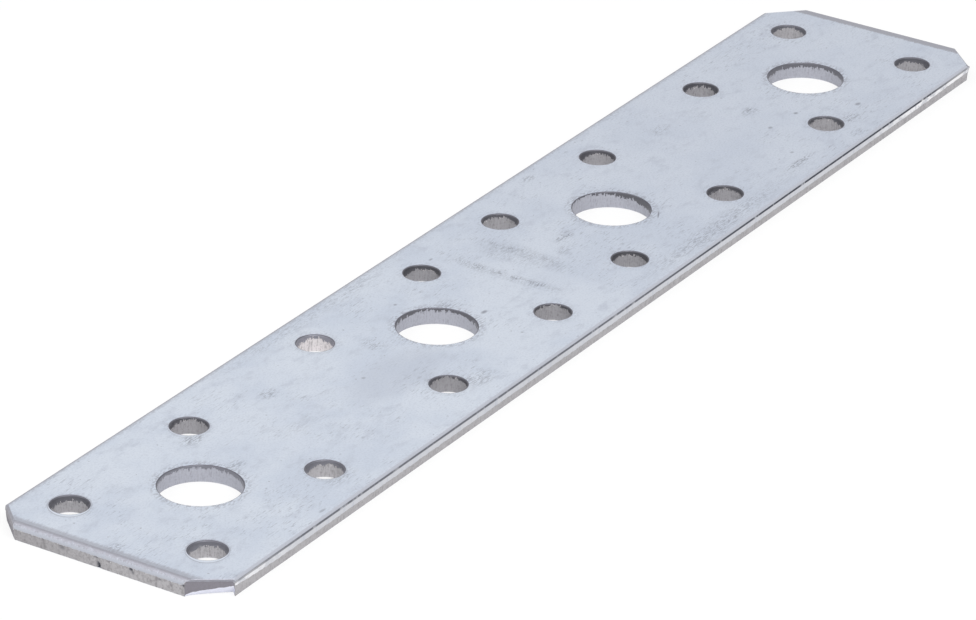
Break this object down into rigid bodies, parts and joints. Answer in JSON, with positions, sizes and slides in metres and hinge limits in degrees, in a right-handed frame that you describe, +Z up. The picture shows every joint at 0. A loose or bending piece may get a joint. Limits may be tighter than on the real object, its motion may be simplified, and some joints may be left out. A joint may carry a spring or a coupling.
{
  "type": "mending plate",
  "caption": "Flat zinc-coated steel mending plate with cut corners, rows of punched screw holes and larger bolt holes on its centre line.",
  "frame": {"origin": "middle of the underside", "axes": "+X along the length, +Y across the width, +Z up through the thickness, towards the face that the punch entered"},
  "size_m": [0.2, 0.035, 0.0025],
  "materials": {
    "zinc_coated_steel": "satin"
  },
  "bodies": {
    "root": {"plate": "zinc_coated_steel"}
  },
  "joints": []
}
